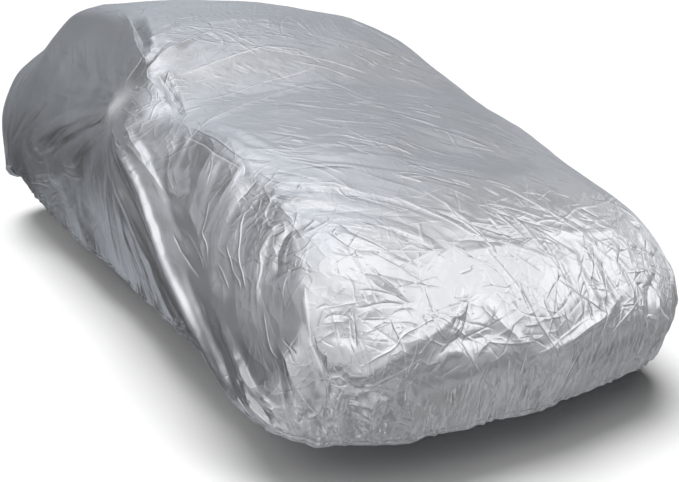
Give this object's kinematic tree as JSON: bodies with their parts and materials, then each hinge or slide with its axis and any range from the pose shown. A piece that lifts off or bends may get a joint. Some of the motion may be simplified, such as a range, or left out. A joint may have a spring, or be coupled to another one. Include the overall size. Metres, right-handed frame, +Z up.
{
  "type": "car cover",
  "caption": "Hollow fitted car cover of thin silver-coated cloth, sewn from a middle panel and side panels, draped in folds with a gathered elastic hem.",
  "frame": {"origin": "just under the inner face of the roof crown, on the centre line, where whatever the cover is pulled over holds it up", "axes": "+Z up, +Y from the nose to the tail, so the right-hand side of the cover is at -X"},
  "size_m": [1.9871, 4.6831, 1.2893],
  "materials": {
    "silver_cloth": "satin silver coating on thin woven polyester, crumpled, with a soft metallic sheen"
  },
  "bodies": {
    "root": {"middle_panel": "silver_cloth", "right_panel": "silver_cloth", "left_panel": "silver_cloth"}
  },
  "joints": []
}
